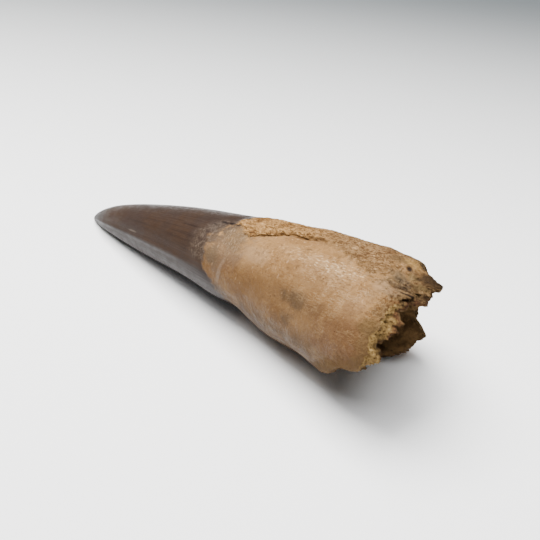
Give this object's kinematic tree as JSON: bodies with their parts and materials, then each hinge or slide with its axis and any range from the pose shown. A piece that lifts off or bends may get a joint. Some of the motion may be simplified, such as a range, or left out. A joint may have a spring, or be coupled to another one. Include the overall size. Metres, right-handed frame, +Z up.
{
  "type": "fossil dinosaur tooth",
  "caption": "Large conical fossil tooth lying on its side: smooth ridged crown, swollen crusted root, and a jagged broken end open to the pulp hollow.",
  "frame": {"origin": "middle of the underside of the tooth's bounding box, on the surface it lies on", "axes": "+Z up; +X along the tooth from the tip to the broken root end; the bulge of its sideways bow faces +Y"},
  "size_m": [0.1264, 0.0378, 0.0352],
  "materials": {
    "tooth": "glossy brown enamel on the crown, satin tan fossil dentine with a granular crust on the root"
  },
  "bodies": {
    "root": {"tooth": "tooth"}
  },
  "joints": []
}
